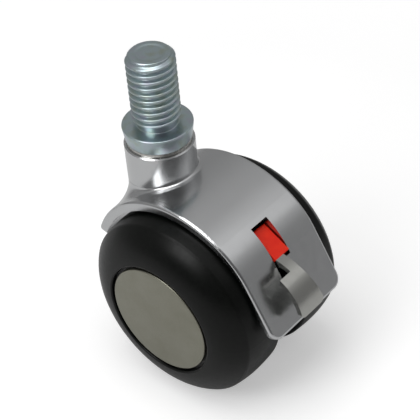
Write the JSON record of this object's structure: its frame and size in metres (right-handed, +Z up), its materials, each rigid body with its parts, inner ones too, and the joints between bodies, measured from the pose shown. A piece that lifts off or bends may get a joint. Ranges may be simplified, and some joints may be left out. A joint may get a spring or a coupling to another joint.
{
  "type": "swivel castor",
  "caption": "Swivel castor with a threaded stem, a chromed hood over a pair of wheels on one axle and a rocking brake pedal with a red indicator.",
  "frame": {"origin": "centre of the stem collar's top face, on the swivel axis, where the castor seats under what it carries", "axes": "+Z up the stem along the swivel axis; +X from the stem towards the axle and the brake; Y along the axle, with the right wheel on -Y"},
  "size_m": [0.0593, 0.0444, 0.085],
  "materials": {
    "zinc_plated_steel": "bluish zinc plating over turned steel, semi-bright",
    "spring_steel": "plain spring steel",
    "bright_steel": "bright drawn steel",
    "acetal": "natural moulded acetal",
    "chromed_die_cast": "satin chrome over die-cast zinc",
    "chromed_pressing": "satin chrome over pressed steel",
    "red_plastic": "moulded red plastic, semi-gloss",
    "black_nylon": "black moulded nylon",
    "polyurethane_tyre": "black cast polyurethane with a soft sheen",
    "satin_disc": "satin plated pressed disc"
  },
  "bodies": {
    "stem": {"threaded_stem": "zinc_plated_steel", "snap_ring": "spring_steel"},
    "housing": {"housing": "chromed_die_cast", "thrust_washer": "bright_steel", "swivel_bush": "acetal", "axle": "bright_steel", "brake_pin": "bright_steel", "detent_spring": "spring_steel", "right_axle_washer": "bright_steel", "left_axle_washer": "bright_steel", "right_axle_clip": "spring_steel", "left_axle_clip": "spring_steel"},
    "right_wheel": {"right_wheel_core": "black_nylon", "right_tyre": "polyurethane_tyre", "right_hub_disc": "satin_disc", "right_wheel_bush": "acetal"},
    "left_wheel": {"left_wheel_core": "black_nylon", "left_tyre": "polyurethane_tyre", "left_hub_disc": "satin_disc", "left_wheel_bush": "acetal"},
    "brake": {"brake_lever": "chromed_pressing", "brake_indicator": "red_plastic", "brake_bar": "bright_steel"}
  },
  "joints": [
    {"name": "swivel", "type": "hinge", "parent": "stem", "child": "housing", "pos_m": [0, 0, 0], "axis": [0, 0, 1], "continuous": true},
    {"name": "right_wheel_roll", "type": "hinge", "parent": "housing", "child": "right_wheel", "pos_m": [0.01475, -0.0135, -0.0405], "axis": [0, 1, 0], "continuous": true},
    {"name": "left_wheel_roll", "type": "hinge", "parent": "housing", "child": "left_wheel", "pos_m": [0.01475, 0.0135, -0.0405], "axis": [0, 1, 0], "continuous": true},
    {"name": "brake_press", "type": "hinge", "parent": "housing", "child": "brake", "pos_m": [0.03313, 0, -0.02507], "axis": [0, 1, 0], "range_deg": [0, 10]}
  ]
}
